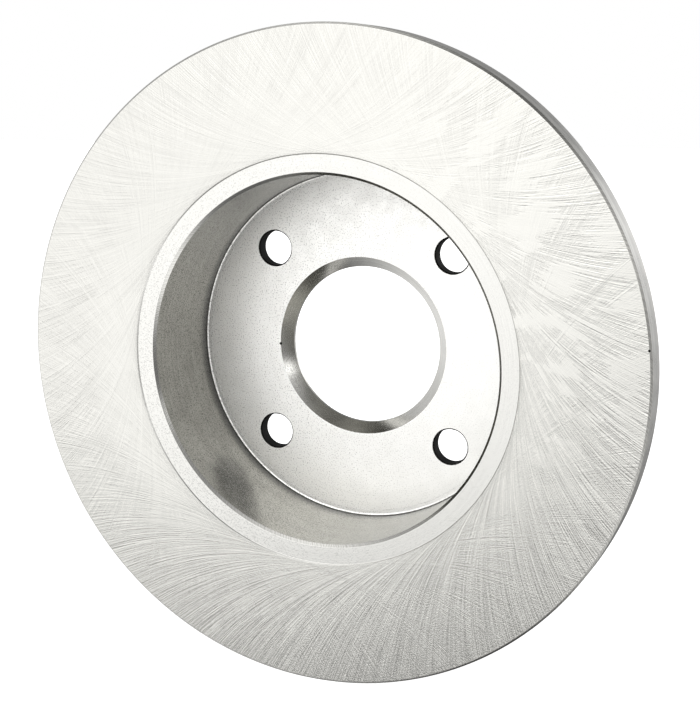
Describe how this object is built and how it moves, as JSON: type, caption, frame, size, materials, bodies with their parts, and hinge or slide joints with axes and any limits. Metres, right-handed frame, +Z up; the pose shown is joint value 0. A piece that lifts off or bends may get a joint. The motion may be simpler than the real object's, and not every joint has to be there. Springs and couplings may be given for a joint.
{
  "type": "brake disc",
  "caption": "Solid iron brake disc: a flat friction ring carried by a deep hat with a central pilot bore and bolt holes in its flange.",
  "frame": {"origin": "centre of the flange face that sits on the wheel hub, on the disc's spin axis", "axes": "+Y along the spin axis, from the hub side to the road wheel side; +Z up; the bolt holes lie at 45 degrees to X and Z"},
  "size_m": [0.252, 0.0495, 0.252],
  "materials": {
    "machined_iron": "ground and turned bright iron, grey as-cast wall inside the hat"
  },
  "bodies": {
    "root": {"brake_disc": "machined_iron"}
  },
  "joints": []
}
